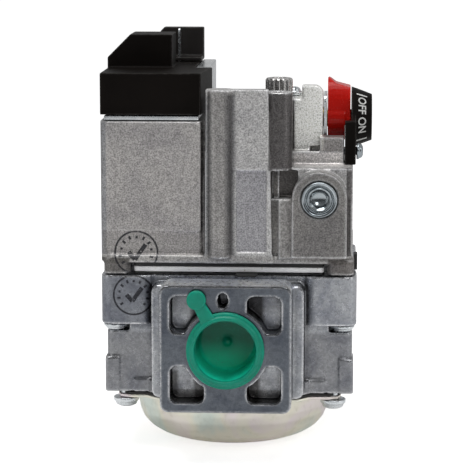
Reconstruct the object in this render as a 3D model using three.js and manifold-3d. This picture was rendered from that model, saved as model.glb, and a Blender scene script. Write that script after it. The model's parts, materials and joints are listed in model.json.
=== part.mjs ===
// Combination gas control valve, millimetres, +Z up.
// +Y is the flow direction: the capped inlet flange faces -Y, the open outlet flange faces +Y.
// The origin is the middle of the flat bottom of the pressed dish.
import * as THREE from "three";
import { mergeVertices } from "three/addons/utils/BufferGeometryUtils.js";
import Module from "manifold-3d";

const wasm = await Module();
wasm.setup();

// ---------------------------------------------------------------- driving dimensions
const GAP = 0.3; // space kept between pieces that touch

// the stack of castings, sheets and covers, from the bottom up
const Z = {
  dishFlange: [22.2, 23.4],
  diaphragm: [23.7, 24.4],
  lower: [24.7, 73.2],
  lowerGasket: [73.5, 74.1],
  plate: [74.4, 76.5],
  upperGasket: [76.8, 77.9],
  upper: 78.2,
  coilTop: 135,
  framePlate: [135.3, 137.1],
  cover: [137.4, 153.9],
};

const BODY = { halfX: 49.4, halfY: 42, wallY: 37.5, sheetX: 38.2, sheetY: 39.5, cornerR: 6 };
const EAR = { innerX: 30, outerX: 51.2, bottomZ: 53.3, screwX: 45.7, screwY: 36.5 };
const PAD = { x: 42, y: 33.5, innerX: 43.8, topZ: 39, proud: 0.7 };
const DISH = { bowlR: 40, flatR: 21, wall: 1.2, halfX: 45.2, halfY: 38, bulgeX: [28, 33], bulgeY: 43 };

const FLANGE = { faceY: 63.5, backY: 47, half: 25.8, cornerR: 3.4, pocketDepth: 9 };
const PORT = { z: 47.7, r: 13.3, shoulderY: 43, boreR: 11, boreEndY: 24 };
const SEAT = { z: 51.2, boreR: 11, lipR: 13, upperR: 19, lowerR: 15, floorZ: 50 };
const PANEL_DEPTH = 0.7;
const RECESS_Y = -36;
const CHAMBER = { r: 36, topZ: 31.5 };

const COIL_BOX = { x: [-51.2, -9.3], y: [-40, 37], wall: 3.7, floorZ: 90, cornerR: 3 };
const COILS = [{ id: "front", y: -19 }, { id: "rear", y: 17 }];
const COIL = { x: -30.2, r: 15.2, coreR: 5, bottomZ: 91.5, topZ: 131, plungerTopZ: 110, travel: 1.5 };

const BASE_TOP = 81.4;
const TOWER = { topZ: 147.6, frontY: -41.9, lipY: -36, backY: -28, panelTopZ: 115.7 };
const COLUMN = { x: -3.4, y: -38.9, r: 5.7, bottomZ: 80.5 };
const PILOT_TUBE = { x: 19.6, y: -36, r: 5.6, boreX: 19.2, boreR: 3.7, topZ: 146.5, bottomZ: 115.5 };
const REGULATOR = { x: 19.15, y: -13.4, bossR: 7.5, boreR: 5, topZ: 142.2, floorZ: 102 };
const TAP = { x: 36.1, z: 104.7, bossR: 10.9, frontY: -46, backY: 44, r: 6.2, headR: 7.1 };

// the gas cock turns about an X axis through (COCK.y, COCK.z)
const COCK = { y: 0, z: 133, smallX: 12, bigX: 36, smallR: 5.8, bigR: 7.6, stemR: 4, boreRun: 0.3 };
const LEVER = { x: [38.9, 48.2], hubX: 46, hubR: 9.5, topZ: 149.6, pinR: 3, pinX: 54 };
const BEZEL = { x: [48.6, 57], backR: 12.6, frontR: 9.5, pinR: 3.4, armX: 46, armY: [-26, -13] };
const BEZEL_SCREW = { y: -20, z: 121.2 };

const VENT_PLUG = { x: 24.9, y: -3 };
const CAP = { ringR: 15.3, ringY: [-66.6, -63.8], tubeR: 12.9, cupR: 11.7, endY: -45.2 };

// ---------------------------------------------------------------- materials
const material = (color, roughness, metalness) =>
  new THREE.MeshStandardMaterial({ color, roughness, metalness, flatShading: true });

const MAT = {
  casting: () => material(0x9d9b98, 0.55, 0.85),
  zinc: () => material(0xc4c8ca, 0.3, 0.95),
  chromate: () => material(0xb9b49c, 0.35, 0.9),
  steel: () => material(0xa9abad, 0.4, 0.95),
  brass: () => material(0xb5934f, 0.35, 0.95),
  black: () => material(0x15130f, 0.55, 0),
  rubber: () => material(0x1c1c1e, 0.85, 0),
  copper: () => material(0x8f4f28, 0.4, 0.6),
  nylon: () => material(0xd8d2c2, 0.5, 0),
  green: () => material(0x14a880, 0.35, 0),
  red: () => material(0xc01c14, 0.35, 0),
  dark: () => material(0x5b5b5d, 0.35, 0.9),
};

// ---------------------------------------------------------------- solid helpers
/** Merges a geometry's shared corners, drops collapsed triangles and makes a manifold solid. */
function solid(geometry) {
  const bare = geometry.clone();
  bare.deleteAttribute("normal");
  bare.deleteAttribute("uv");
  const merged = mergeVertices(bare, 1e-4);
  const index = merged.index.array;
  const kept = [];
  for (let i = 0; i < index.length; i += 3) {
    const [a, b, c] = [index[i], index[i + 1], index[i + 2]];
    if (a !== b && b !== c && c !== a) kept.push(a, b, c);
  }
  const vertProperties = new Float32Array(merged.attributes.position.array);
  const triVerts = new Uint32Array(kept);
  return new wasm.Manifold(new wasm.Mesh({ numProp: 3, vertProperties, triVerts }));
}

const join = (...solids) => solids.reduce((whole, next) => whole.add(next));
const cut = (body, ...tools) => tools.reduce((rest, tool) => rest.subtract(tool), body);

const PLANES = {
  xy: new THREE.Matrix4(),
  xz: new THREE.Matrix4().makeBasis(
    new THREE.Vector3(1, 0, 0), new THREE.Vector3(0, 0, 1), new THREE.Vector3(0, -1, 0)),
  yz: new THREE.Matrix4().makeBasis(
    new THREE.Vector3(0, 1, 0), new THREE.Vector3(0, 0, 1), new THREE.Vector3(1, 0, 0)),
};

/** Extrudes a shape drawn in the given plane between two values of the axis across it. */
function prism(plane, shape, [from, to], curveSegments = 4) {
  const geometry = new THREE.ExtrudeGeometry(shape, { depth: to - from, bevelEnabled: false, curveSegments });
  geometry.applyMatrix4(PLANES[plane]);
  if (plane === "xy") geometry.translate(0, 0, from);
  if (plane === "xz") geometry.translate(0, to, 0);
  if (plane === "yz") geometry.translate(from, 0, 0);
  return solid(geometry);
}

function roundedRect([u0, u1], [v0, v1], r) {
  const shape = new THREE.Shape();
  shape.moveTo(u0 + r, v0);
  shape.lineTo(u1 - r, v0);
  shape.absarc(u1 - r, v0 + r, r, -Math.PI / 2, 0);
  shape.lineTo(u1, v1 - r);
  shape.absarc(u1 - r, v1 - r, r, 0, Math.PI / 2);
  shape.lineTo(u0 + r, v1);
  shape.absarc(u0 + r, v1 - r, r, Math.PI / 2, Math.PI);
  shape.lineTo(u0, v0 + r);
  shape.absarc(u0 + r, v0 + r, r, Math.PI, Math.PI * 1.5);
  return shape;
}

const polygon = (points) => new THREE.Shape(points.map(([u, v]) => new THREE.Vector2(u, v)));

function box([x0, x1], [y0, y1], [z0, z1]) {
  const geometry = new THREE.BoxGeometry(x1 - x0, y1 - y0, z1 - z0);
  geometry.translate((x0 + x1) / 2, (y0 + y1) / 2, (z0 + z1) / 2);
  return solid(geometry);
}

/** A round bar or cone along an axis; [u, v] are the other two coordinates, in X, Y, Z order. */
function bar(axis, [u, v], [from, to], r, sides = 24, endR = r) {
  const geometry = new THREE.CylinderGeometry(endR, r, to - from, sides);
  const middle = (from + to) / 2;
  if (axis === "x") geometry.rotateZ(-Math.PI / 2).translate(middle, u, v);
  if (axis === "y") geometry.translate(u, middle, v);
  if (axis === "z") geometry.rotateX(Math.PI / 2).translate(u, v, middle);
  return solid(geometry);
}

/** Turns an outline of [radius, height] points about an upright axis at (x, y). */
function turned(points, x = 0, y = 0, sides = 28) {
  const outline = points.map(([r, h]) => new THREE.Vector2(r, h));
  const geometry = new THREE.LatheGeometry(outline, sides);
  geometry.rotateX(Math.PI / 2).translate(x, y, 0);
  return solid(geometry);
}

/** A ring or washer between two radii and two heights. */
const ring = (x, y, inner, outer, [z0, z1], sides = 28) =>
  turned([[inner, z0], [outer, z0], [outer, z1], [inner, z1], [inner, z0]], x, y, sides);

/** A helical spring about an upright axis. */
function helix(x, y, r, wire, [z0, z1], turns, stepsPerTurn = 10) {
  const points = [];
  for (let i = 0; i <= turns * stepsPerTurn; i += 1) {
    const angle = (i / stepsPerTurn) * Math.PI * 2;
    const z = z0 + wire + ((z1 - z0 - 2 * wire) * i) / (turns * stepsPerTurn);
    points.push(new THREE.Vector3(x + r * Math.cos(angle), y + r * Math.sin(angle), z));
  }
  const section = new THREE.Shape().absarc(0, 0, wire, 0, Math.PI * 2);
  const extrudePath = new THREE.CatmullRomCurve3(points);
  return solid(new THREE.ExtrudeGeometry(section, { steps: points.length - 1, curveSegments: 3, extrudePath }));
}

/** A screw along an axis: the head starts at headAt and points the way dir says. */
function screw(axis, [u, v], { headAt, dir, headR, headH, shankR, shankL, slot = 0, sides = 16 }) {
  const profile = [
    [0, -shankL], [shankR, -shankL + 0.6], [shankR, 0], [headR, 0],
    [headR, headH * 0.55], [headR * 0.72, headH], [0, headH],
  ];
  const geometry = new THREE.LatheGeometry(profile.map(([r, h]) => new THREE.Vector2(r, h)), sides);
  let body = solid(geometry);
  if (slot > 0) {
    const half = headR * 0.62;
    body = cut(body, solid(new THREE.BoxGeometry(half * 2, headH, slot).translate(0, headH, 0)));
    body = cut(body, solid(new THREE.BoxGeometry(slot, headH, half * 2).translate(0, headH, 0)));
  }
  const turn = { x: [0, 0, -90 * dir], y: [dir > 0 ? 0 : 180, 0, 0], z: [90 * dir, 0, 0] }[axis];
  const place = { x: [headAt, u, v], y: [u, headAt, v], z: [u, v, headAt] }[axis];
  return body.rotate(turn).translate(place);
}

const group = new THREE.Group();
group.name = "gas_valve";

/** Adds a finished solid to the valve as a named piece. */
function piece(name, body, mat) {
  const raw = body.getMesh();
  const geometry = new THREE.BufferGeometry();
  const corners = new Float32Array((raw.vertProperties.length / raw.numProp) * 3);
  for (let i = 0; i < corners.length / 3; i += 1) {
    for (let k = 0; k < 3; k += 1) corners[i * 3 + k] = raw.vertProperties[i * raw.numProp + k];
  }
  geometry.setAttribute("position", new THREE.BufferAttribute(corners, 3));
  geometry.setIndex(new THREE.BufferAttribute(new Uint32Array(raw.triVerts), 1));
  geometry.computeVertexNormals();
  const mesh = new THREE.Mesh(geometry, mat());
  mesh.name = name;
  group.add(mesh);
}

const SIDES = [-1, 1];
const CORNERS = SIDES.flatMap((sx) => SIDES.map((sy) => ({ sx, sy })));
const span = (sign, near, far) => (sign > 0 ? [near, far] : [-far, -near]);
const cornerName = ({ sx, sy }) => `${sy < 0 ? "inlet" : "outlet"}_${sx < 0 ? "left" : "right"}`;

/** The plan outline of the dish's flange, which bulges forward where the round bowl does. */
function dishOutline(halfX, cornerR, grow = 0) {
  const [b0, b1] = DISH.bulgeX;
  const y = DISH.halfY;
  const side = [[-halfX, -y + cornerR], [-halfX + cornerR, -y], [-b1, -y], [-b0, -DISH.bulgeY - grow]];
  const half = [...side, ...side.map(([u, v]) => [-u, v]).reverse()];
  return polygon([...half, ...half.map(([u, v]) => [u, -v]).reverse()]);
}

// ---------------------------------------------------------------- lower casting
/** The pocket cored into one corner of a pipe flange, its inner edge curving round the port. */
function flangePocket(sx, sz, depthY) {
  const u = span(sx, 8.4, 21.8);
  const v = span(sz, 6.6, 21.2).map((z) => z + PORT.z);
  const block = prism("xz", roundedRect(u, v, 2.8), depthY, 3);
  return cut(block, bar("y", [0, PORT.z], [depthY[0] - 1, depthY[1] + 1], 17.3, 28));
}

function lowerCasting() {
  const [z0, z1] = Z.lower;
  const slab = (halfX, halfY, zs, r) => prism("xy", roundedRect([-halfX, halfX], [-halfY, halfY], r), zs);
  let body = join(
    slab(BODY.halfX, BODY.wallY, [z0, z1], 3),
    slab(BODY.sheetX + 1, BODY.sheetY, [66, z1], 4),
    prism("xy", dishOutline(DISH.halfX - 6, 1), [z0, 30]),
  );
  for (const { sx, sy } of CORNERS) {
    const ear = roundedRect(span(sx, EAR.innerX, EAR.outerX), span(sy, BODY.wallY - 14, BODY.halfY), 4.5);
    const padX = span(sx, PAD.innerX, BODY.halfX + PAD.proud);
    const padY = span(sy, BODY.wallY - 12, BODY.wallY + PAD.proud);
    body = join(body, prism("xy", ear, [EAR.bottomZ, z1], 3));
    body = join(body, prism("xy", roundedRect(padX, padY, 1.2), [z0, PAD.topZ], 2));
  }
  for (const sy of SIDES) {
    const neck = roundedRect([-30.3, 30.3], [z0, 70.5], 3);
    const flange = roundedRect([-FLANGE.half, FLANGE.half], [PORT.z - 25.3, PORT.z + 25.4], FLANGE.cornerR);
    body = join(body, prism("xz", neck, span(sy, BODY.wallY - 2, FLANGE.backY + 1), 3));
    body = join(body, prism("xz", flange, span(sy, FLANGE.backY, FLANGE.faceY)));
  }
  body = cut(
    body,
    bar("z", [0, 0], [z0 - 1, CHAMBER.topZ], CHAMBER.r, 28),
    bar("z", [0, 0], [CHAMBER.topZ - 1, 46], SEAT.lowerR, 20),
    bar("z", [0, 0], [SEAT.floorZ, z1 + 1], SEAT.upperR, 24),
  );
  body = join(body, ring(0, 0, SEAT.boreR, SEAT.lipR, [SEAT.floorZ - 1, SEAT.z], 20));
  body = cut(body, bar("z", [0, 0], [45, SEAT.z + 1], SEAT.boreR, 20));
  for (const sy of SIDES) {
    const linkZ = sy < 0 ? 58 : 39.5;
    const linkR = sy < 0 ? 7.6 : 6.4;
    body = cut(
      body,
      bar("y", [0, PORT.z], span(sy, PORT.shoulderY, FLANGE.faceY + 1), PORT.r, 32),
      bar("y", [0, PORT.z], span(sy, PORT.boreEndY, PORT.shoulderY + 1), PORT.boreR, 20),
      bar("y", [0, linkZ], span(sy, 8, 30), linkR, 12),
      solid(new THREE.CylinderGeometry(3.2, 3.2, 16, 8).scale(0.66, 1, 1)
        .translate(-1, sy * FLANGE.faceY, PORT.z + 19.6)),
    );
    for (const sx of SIDES) {
      for (const sz of SIDES) {
        const depth = span(sy, FLANGE.faceY - FLANGE.pocketDepth, FLANGE.faceY + 1);
        body = cut(body, flangePocket(sx, sz, depth));
      }
    }
  }
  for (const sx of SIDES) {
    for (const ys of [[-21, -8.5], [-6.5, 6.5], [8.5, 21]]) {
      const panel = prism("yz", roundedRect(ys, [29, 69], 2.5), span(sx, BODY.halfX - PANEL_DEPTH, 51), 3);
      body = cut(body, panel);
    }
  }
  for (const { sx, sy } of CORNERS) {
    body = cut(
      body,
      bar("z", [sx * PAD.x, sy * PAD.y], [z0 - 1, 37], 2.3, 8),
      bar("z", [sx * EAR.screwX, sy * EAR.screwY], [EAR.bottomZ - 3.4, EAR.bottomZ], 5.6, 16),
      bar("z", [sx * EAR.screwX, sy * EAR.screwY], [EAR.bottomZ - 1, z1 + 1], 2.6, 8),
    );
  }
  return body;
}

// ---------------------------------------------------------------- upper casting
function tapBoss(ys) {
  const low = TAP.z - 23.4;
  const shape = new THREE.Shape();
  shape.moveTo(TAP.x - TAP.bossR, low);
  shape.lineTo(TAP.x + TAP.bossR, low);
  shape.lineTo(TAP.x + TAP.bossR, TAP.z);
  shape.absarc(TAP.x, TAP.z, TAP.bossR, 0, Math.PI);
  shape.lineTo(TAP.x - TAP.bossR, low);
  return prism("xz", shape, ys, 12);
}

function upperCasting() {
  const low = Z.upper;
  const { x: cx, y: cy } = COIL_BOX;
  const panelX = [cx[0] + 2.6, cx[1] - 1.6];
  const blocks = [
    prism("xy", roundedRect([-50.3, BODY.halfX], [-41.5, 41.5], BODY.cornerR), [low, BASE_TOP]),
    prism("xy", roundedRect(cx, cy, COIL_BOX.cornerR), [low, Z.coilTop]),
    box(panelX, [cy[0] - 0.7, cy[0] + 1], [91, Z.coilTop - 0.4]),
    prism("xz", polygon([[-9.5, low], [17.6, low], [15.8, TOWER.topZ], [-9.1, TOWER.topZ]]),
      [TOWER.frontY, TOWER.lipY]),
    box([-8.6, 15], [TOWER.lipY - 1, TOWER.backY], [low, TOWER.topZ - 4]),
    bar("z", [COLUMN.x, COLUMN.y], [COLUMN.bottomZ, TOWER.topZ], COLUMN.r, 28),
    bar("z", [PILOT_TUBE.x, PILOT_TUBE.y], [PILOT_TUBE.bottomZ, PILOT_TUBE.topZ], PILOT_TUBE.r, 28),
    box([14, 24], [-34, -20], [low, 138]),
    bar("z", [REGULATOR.x, REGULATOR.y], [low, REGULATOR.topZ], REGULATOR.bossR, 24),
    box([-10, 20], [-30, 38], [low, 112]),
    prism("xy", roundedRect([17, 49.3], [-38, 38], 2), [low, 116.2], 3),
    tapBoss([TAP.frontY, -34]),
    tapBoss([34, TAP.backY]),
    box([19.8, 25.4], [-43.2, -34], [BASE_TOP - 1, 104.5]),
    box([5, 26], [-13, 13], [108, 142]),
    prism("xz", roundedRect([25.2, 37], [110, 147.5], 3.2), [-20, -13], 4),
    prism("xz", roundedRect([25.2, 37], [110, 143.5], 2), [-14, 20], 3),
    box([24, 45.7], [-24, 24], [110, 121.3]),
    box([36, 45.7], [-24, -14.5], [120, 127]),
    bar("y", [-1, 96], [37, 43], 8, 24),
  ];
  let body = join(...blocks);
  for (const { sx, sy } of CORNERS) {
    const foot = roundedRect(span(sx, 39.3, 50), span(sy, 31, 41.5), 3);
    body = join(body, prism("xy", foot, [73.7, 80], 3));
    body = cut(body, bar("z", [sx * EAR.screwX, sy * EAR.screwY], [73, BASE_TOP - 1], 2.6, 8));
  }

  const wall = COIL_BOX.wall;
  const pocket = roundedRect([cx[0] + wall, cx[1] - wall], [cy[0] + wall, cy[1] - wall], 3);
  body = cut(body, prism("xy", pocket, [COIL_BOX.floorZ, Z.coilTop + 1]));
  for (const { y } of COILS) {
    body = cut(body, bar("z", [COIL.x, y], [85, 91], COIL.coreR + 0.5, 20));
    body = cut(body, bar("z", [COIL.x, y], [low - 1, 86], 1.4, 10));
  }

  body = cut(
    body,
    prism("yz", roundedRect([-34, 31], [95, 131], 3), [cx[0] - 1, cx[0] + PANEL_DEPTH], 3),
    prism("xz", roundedRect([-46, -15], [95, 131], 3), [cy[1] - PANEL_DEPTH, cy[1] + 1], 3),
    prism("yz", roundedRect([-31, 31], [87, 112], 3), [49.3 - PANEL_DEPTH, 50.3], 3),
  );

  const coneAt = (x) => {
    const t = (x - COCK.smallX) / (COCK.bigX - COCK.smallX);
    return COCK.smallR + (COCK.bigR - COCK.smallR) * t + COCK.boreRun;
  };
  body = cut(
    body,
    box([3, 15.2], [-44, TOWER.frontY + 0.8], [82.7, TOWER.panelTopZ]),
    cut(box([17.8, 27.4], [-39, RECESS_Y], [BASE_TOP, PILOT_TUBE.bottomZ]),
      box([19.8, 30], [-40, -22], [80, 104.5])),
    box([47.3, 48.5], [-39, -37.2], [82, 104.5]),
    bar("z", [PILOT_TUBE.boreX, PILOT_TUBE.y], [124, PILOT_TUBE.topZ + 1], PILOT_TUBE.boreR, 24),
    bar("z", [REGULATOR.x, REGULATOR.y], [REGULATOR.floorZ, REGULATOR.topZ + 1], REGULATOR.boreR, 24),
    bar("z", [REGULATOR.x, REGULATOR.y], [low - 1, REGULATOR.floorZ + 1], 1.6, 10),
    bar("x", [COCK.y, COCK.z], [11, 37.5], coneAt(11), 28, coneAt(37.5)),
    bar("z", [24, COCK.y], [low - 1, 128], 3, 14),
    bar("x", [BEZEL_SCREW.y, BEZEL_SCREW.z], [32, 46], 1.9, 10),
    bar("y", [TAP.x, TAP.z], [TAP.frontY - 1, TAP.frontY + 1.3], TAP.headR + 0.4, 28),
    bar("y", [TAP.x, TAP.z], [TAP.frontY, -28], TAP.r + GAP, 24),
    bar("y", [TAP.x, TAP.z], [TAP.backY - 1.3, TAP.backY + 1], TAP.headR + 0.4, 28),
    bar("y", [TAP.x, TAP.z], [28, TAP.backY], TAP.r + GAP, 24),
    bar("y", [-1, 96], [34, 44], 4.4, 18),
    box([20, VENT_PLUG.x + 3.7], [-21, 21], [142, 150]),
    bar("z", [VENT_PLUG.x, VENT_PLUG.y], [142 - 1.9, 143], 2.3, 12),
  );
  return body;
}

// ---------------------------------------------------------------- sheets between the castings
const sheetOutline = () => roundedRect([-BODY.sheetX, BODY.sheetX], [-BODY.sheetY, BODY.sheetY], 2);

function sheet(zs, holeR, withTab) {
  let body = prism("xy", sheetOutline(), zs, 3);
  if (withTab) body = join(body, prism("xy", roundedRect([3, 11.5], [-45.5, -36], 2.5), zs, 4));
  body = cut(body, bar("z", [24, COCK.y], [zs[0] - 1, zs[1] + 1], 3, 12));
  for (const { y } of COILS) body = cut(body, bar("z", [COIL.x, y], [zs[0] - 1, zs[1] + 1], 1.8, 10));
  if (holeR > 0) body = cut(body, bar("z", [0, 0], [zs[0] - 1, zs[1] + 1], holeR, 28));
  return body;
}

// ---------------------------------------------------------------- dish and main valve
function screwedSheet(zs) {
  let body = prism("xy", dishOutline(DISH.halfX, 5), zs);
  for (const { sx, sy } of CORNERS) {
    body = cut(body, bar("z", [sx * PAD.x, sy * PAD.y], [zs[0] - 1, zs[1] + 1], 2.5, 12));
  }
  return body;
}

function dish() {
  const top = Z.dishFlange[1];
  const w = DISH.wall;
  const outer = [[DISH.flatR, 0], [29.5, 1.6], [35.5, 4.6], [38.6, 8.4], [DISH.bowlR, 14]];
  const inner = [[DISH.bowlR - w, 14.3], [37.4, 9.2], [34.6, 5.6], [29, 2.8], [DISH.flatR, w]];
  const bowl = turned([
    [0, 0], ...outer, [DISH.bowlR, top], [DISH.bowlR - w, top], ...inner, [0, w],
  ], 0, 0, 36);
  const flange = cut(screwedSheet(Z.dishFlange), bar("z", [0, 0], [20, 26], DISH.bowlR - w, 36));
  return join(bowl, flange);
}

function mainDiaphragm() {
  const [z0, z1] = Z.diaphragm;
  const roll = turned([[27, z0 - 1.6], [33, z0 - 1.6], [34.4, z1], [25.6, z1], [27, z0 - 1.6]], 0, 0, 32);
  const groove = turned([[27.6, z0 - 0.9], [32.4, z0 - 0.9], [33.6, z1 + 1], [26.4, z1 + 1], [27.6, z0 - 0.9]],
    0, 0, 32);
  return cut(join(screwedSheet(Z.diaphragm), roll), groove);
}

function buildMainValve() {
  piece("diaphragm_plate", turned([[0, 24.7], [23, 24.7], [24, 25.2], [24, 26], [0, 26]]), MAT.zinc);
  piece("main_valve_stem", turned([
    [0, 26.3], [4, 26.3], [4, 28], [2, 28], [2, 54.3], [11.4, 54.3], [11.4, 55.6], [4.6, 55.6], [4.6, 58.5],
    [0, 58.5],
  ], 0, 0, 20), MAT.steel);
  piece("main_valve_disc", ring(0, 0, 2.3, 13.6, [SEAT.z + GAP, 54]), MAT.rubber);
  piece("main_valve_spring", helix(0, 0, 6.6, 0.7, [55.9, 74.3], 5), MAT.steel);
}

// ---------------------------------------------------------------- solenoids and black cover
function buildSolenoid({ id, y }) {
  const { x, r, coreR, bottomZ, topZ, plungerTopZ, travel } = COIL;
  const tubeR = coreR + 1.6;
  piece(`coil_bobbin_${id}`, turned([
    [coreR + 0.5, bottomZ], [r, bottomZ], [r, bottomZ + 1.6], [tubeR, bottomZ + 1.6], [tubeR, topZ - 1.6],
    [r, topZ - 1.6], [r, topZ], [coreR + 0.5, topZ], [coreR + 0.5, bottomZ],
  ], x, y, 24), MAT.nylon);
  piece(`coil_winding_${id}`, ring(x, y, tubeR + GAP, r - 1, [bottomZ + 1.9, topZ - 1.9], 24), MAT.copper);
  const coreZ = [plungerTopZ + travel + GAP, Z.coilTop - GAP];
  const springZ = [plungerTopZ + GAP, plungerTopZ + 7];
  piece(`coil_core_${id}`, turned([
    [3, coreZ[0]], [coreR, coreZ[0]], [coreR, coreZ[1]], [0, coreZ[1]], [0, springZ[1] + GAP],
    [3, springZ[1] + GAP], [3, coreZ[0]],
  ], x, y, 18), MAT.steel);
  piece(`plunger_spring_${id}`, helix(x, y, 2.2, 0.35, springZ, 4, 8), MAT.steel);
  piece(`plunger_${id}`, turned([
    [0, 89.6], [coreR - 1, 89.6], [coreR - 1, 91], [coreR, 92], [coreR, plungerTopZ - 0.8],
    [coreR - 0.8, plungerTopZ], [0, plungerTopZ],
  ], x, y, 18), MAT.steel);
  piece(`plunger_seal_${id}`, turned([[0, 86.4], [3.4, 86.4], [3.4, 89.3], [0, 89.3]], x, y, 16), MAT.rubber);
}

function coilFrame() {
  const [z0, z1] = Z.framePlate;
  const top = Z.cover[1];
  const plate = polygon([[-49.4, -40.6], [-11.8, -40.6], [-11.8, -9], [-9.5, -9], [-9.5, 36.8], [-49.4, 36.8]]);
  const body = join(
    prism("xy", plate, [z0, z1]),
    box([-11, -9.5], [-9, 36.8], [z0, top]),
    box([-15, -9.5], [-9, 36.8], [top - 1.5, top]),
  );
  return cut(body, ...COVER_SCREWS.map((at) => bar("z", at, [z0 - 1, z1 + 1], 1.9, 12)));
}

const COVER_SCREWS = [[-18.4, 12], [-38.5, 27]];
const BLADES = [-24.4, -34, -43];
const BLADE_TOPS = [167.6, 161, 161];
const WEDGE_Y = [-12, 8];

function terminalCover() {
  const [z0, z1] = Z.cover;
  const outline = (inset) => polygon([
    [-50.9 + inset, -41 + inset], [-11 - inset, -41 + inset], [-8.3 - inset, -9.3 - inset],
    [-11.3 - inset, -9.3 - inset], [-11.3 - inset, 37 - inset], [-51 + inset, 37 - inset],
  ]);
  const wedge = (inset) => polygon([
    [-51 + inset, z1 - 4], [-24.5 - inset, z1 - 4], [-24.5 - inset, 167.4 - inset],
    [-41.6 + inset * 0.4, 167.4 - inset], [-51 + inset, 158 - inset * 0.4],
  ]);
  let body = join(prism("xy", outline(0), [z0, z1]), prism("xz", wedge(0), WEDGE_Y));
  const bosses = COVER_SCREWS.map((at) => bar("z", at, [z0, z1 - 1], 3.4, 14));
  body = cut(body, prism("xy", outline(2), [z0 - 1, z1 - 2.2]),
    prism("xz", wedge(2), [WEDGE_Y[0] + 2, WEDGE_Y[1] - 2]));
  body = join(body, ...bosses);
  body = cut(
    body,
    box([-15.3, 0], [-9.3, 40], [z1 - 1.8, z1 + 1]),
    ...COVER_SCREWS.map((at) => bar("z", at, [z0 - 1, z1 + 1], 1.8, 12)),
    ...COVER_SCREWS.map((at) => bar("z", at, [z1 - 3, z1 + 1], 3, 14)),
    ...BLADES.map((x) => box([x - 0.8, x + 0.8], [22.6, 29.8], [z1 - 4, z1 + 1])),
  );
  return body;
}

function terminalBlock() {
  const base = Z.cover[1] + GAP;
  let body = join(
    box([-49, -14.7], [21.4, 36.6], [base, base + 1.6]),
    prism("xz", polygon([[-33, base], [-14.5, base], [-14.5, 167.9], [-31.4, 167.9], [-33, 166.3]]), [31.5, 36.6]),
    box([-49, -33], [33.5, 36.6], [base, 161]),
  );
  body = cut(body, ...BLADES.map((x) => box([x - 0.75, x + 0.75], [22.6, 29.8], [base - 1, base + 3])));
  return cut(body, bar("z", COVER_SCREWS[1], [base - 1, base + 3], 3, 12));
}

function blade(x, top) {
  const outline = polygon([
    [23, 149], [29.4, 149], [29.4, top - 2], [28.2, top], [24.2, top], [23, top - 2],
  ]);
  const hole = bar("x", [26.2, top - 5.5], [x - 2, x + 2], 0.9, 10);
  return cut(prism("yz", outline, [x - 0.4, x + 0.4]), hole);
}

// ---------------------------------------------------------------- regulator and pilot screw
function flutedCap() {
  const flutes = 14;
  const outline = new THREE.Shape();
  for (let i = 0; i <= flutes * 4; i += 1) {
    const angle = (i / (flutes * 4)) * Math.PI * 2;
    const r = 5.6 - (i % 4 < 2 ? 0 : 0.4);
    const at = [REGULATOR.x + r * Math.cos(angle), REGULATOR.y + r * Math.sin(angle)];
    if (i === 0) outline.moveTo(...at);
    else outline.lineTo(...at);
  }
  const head = prism("xy", outline, [REGULATOR.topZ + GAP, 150.2]);
  return join(head, bar("z", [REGULATOR.x, REGULATOR.y], [137, REGULATOR.topZ + 1], 4.5, 20));
}

function slottedPlug(x, y, r, [z0, z1]) {
  const slot = box([x - r, x + r], [y - 0.6, y + 0.6], [z1 - 1.6, z1 + 1]);
  return cut(bar("z", [x, y], [z0, z1], r, 20), slot);
}

// ---------------------------------------------------------------- gas cock, lever and bezel
function cockPlug() {
  const { y, z, smallX, bigX, smallR, bigR, stemR } = COCK;
  const cone = bar("x", [y, z], [smallX, bigX], smallR, 28, bigR);
  const stem = bar("x", [y, z], [bigX - 1, LEVER.x[0] + 4], stemR, 18);
  const flat = box([LEVER.x[0] - 0.2, LEVER.x[0] + 5], [-5, 5], [z + 2.6, z + 6]);
  return cut(join(cone, stem), flat, bar("z", [24, y], [z - 12, z + 12], 2.8, 14));
}

function lever() {
  const { z } = COCK;
  const [x0, x1] = LEVER.x;
  const side = new THREE.Shape();
  side.moveTo(-9.2, z - 2);
  side.lineTo(9.2, z - 2);
  side.lineTo(8.6, 141);
  side.bezierCurveTo(8, 147, 4, LEVER.topZ + 0.4, 0, LEVER.topZ);
  side.bezierCurveTo(-4, LEVER.topZ + 0.4, -8, 147, -8.6, 141);
  side.lineTo(-9.2, z - 2);
  const paddle = prism("yz", side, [x0, x1], 8);
  const roof = polygon([[x0 - 1, 160], [x0 - 1, LEVER.topZ - 1], [x0 + 0.7, LEVER.topZ], [x0 + 1.6, 148.8],
    [x0 + 3.4, 147.3], [x1 + 1, 145.4], [x1 + 1, 160]]);
  const hub = bar("x", [COCK.y, z], [x0, LEVER.hubX], LEVER.hubR, 32);
  const pin = bar("x", [COCK.y, z], [LEVER.hubX - 1, LEVER.pinX], LEVER.pinR, 20);
  const lowPart = box([LEVER.hubX, x1 + 1], [-12, 12], [z - 4, 129.4 + 1.2]);
  const socket = cut(
    bar("x", [COCK.y, z], [x0 - 1, x0 + 4.6], COCK.stemR + GAP, 18),
    box([x0 - 2, x0 + 6], [-6, 6], [z + 2.9, z + 6]),
  );
  return cut(join(cut(paddle, prism("xz", roof, [-12, 12]), lowPart), hub, pin), socket);
}

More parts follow.
